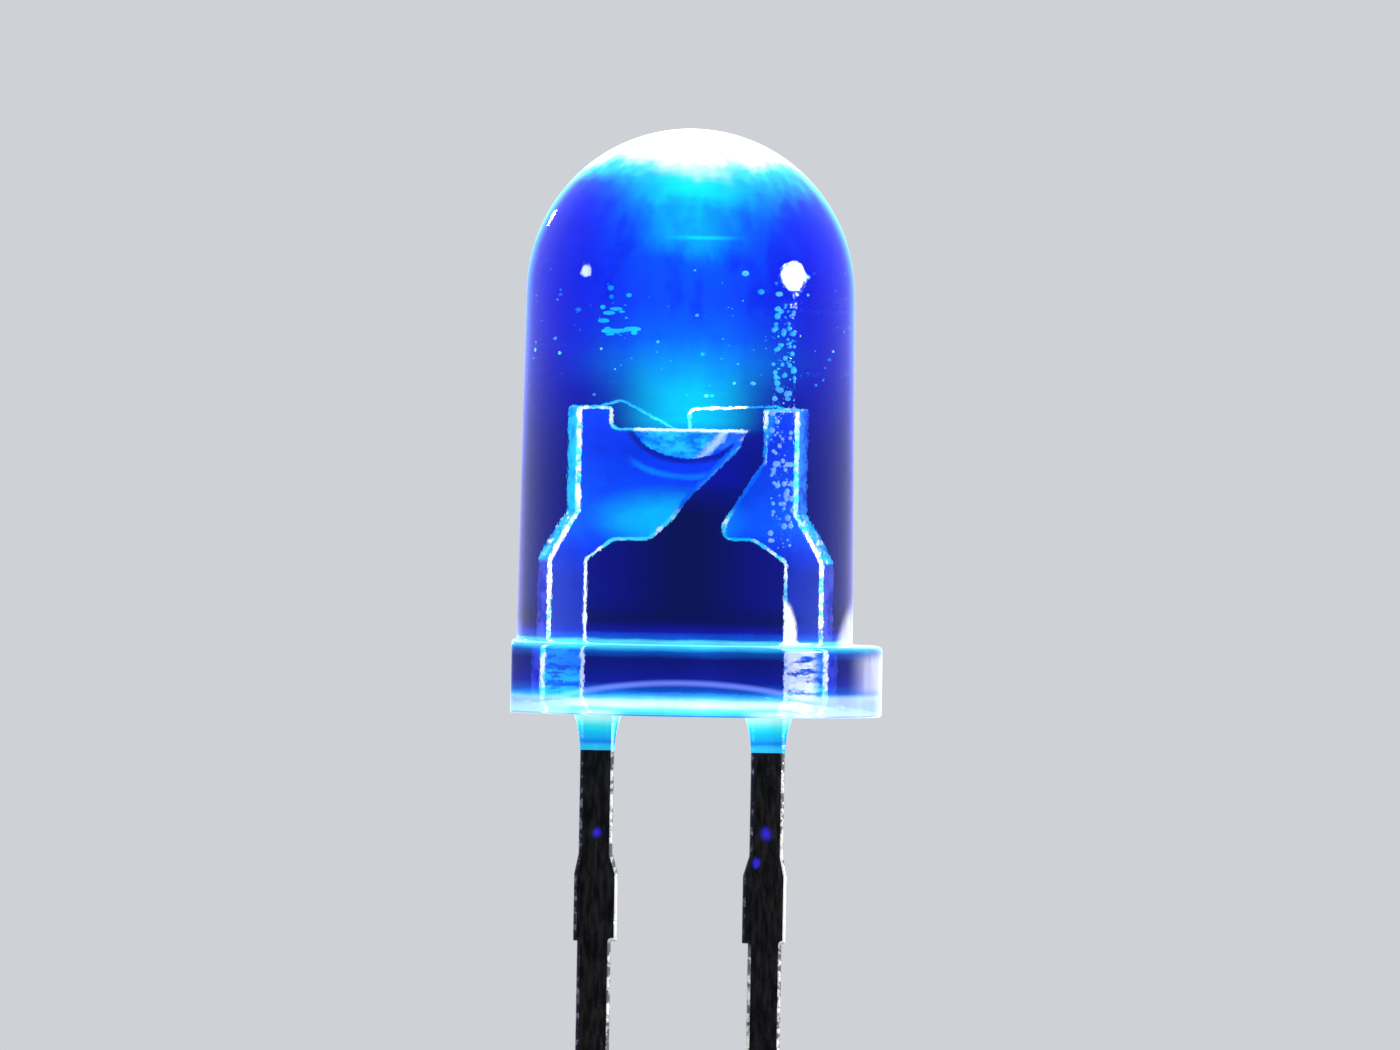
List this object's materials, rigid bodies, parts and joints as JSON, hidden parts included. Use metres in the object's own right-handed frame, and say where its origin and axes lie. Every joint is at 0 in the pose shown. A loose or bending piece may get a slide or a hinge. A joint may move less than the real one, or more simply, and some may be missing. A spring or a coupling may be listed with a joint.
{
  "type": "through hole led",
  "caption": "Round clear blue through hole LED, lit, with a domed epoxy lens, a flange with a flat, and two straight leads of unequal length.",
  "frame": {"origin": "where the body's axis meets the plane that the flange seats on, midway between the two leads", "axes": "+Z along the body's axis to the dome's tip, with the leads hanging along -Z; +X from the cathode lead, on the flat's side, to the anode lead"},
  "size_m": [0.0056, 0.0058, 0.0361],
  "materials": {
    "blue_epoxy": "clear cast epoxy, gloss, glowing blue",
    "plated_steel": "tin-plated sheet steel, bright with fine pits",
    "lit_die": "lit blue die",
    "silver_adhesive": "silver-filled adhesive, satin",
    "gold_wire": "drawn gold, bright"
  },
  "bodies": {
    "root": {"lens": "blue_epoxy", "cathode_lead": "plated_steel", "anode_lead": "plated_steel", "led_die": "lit_die", "die_attach": "silver_adhesive", "anode_bond_wire": "gold_wire", "cathode_bond_wire": "gold_wire"}
  },
  "joints": []
}
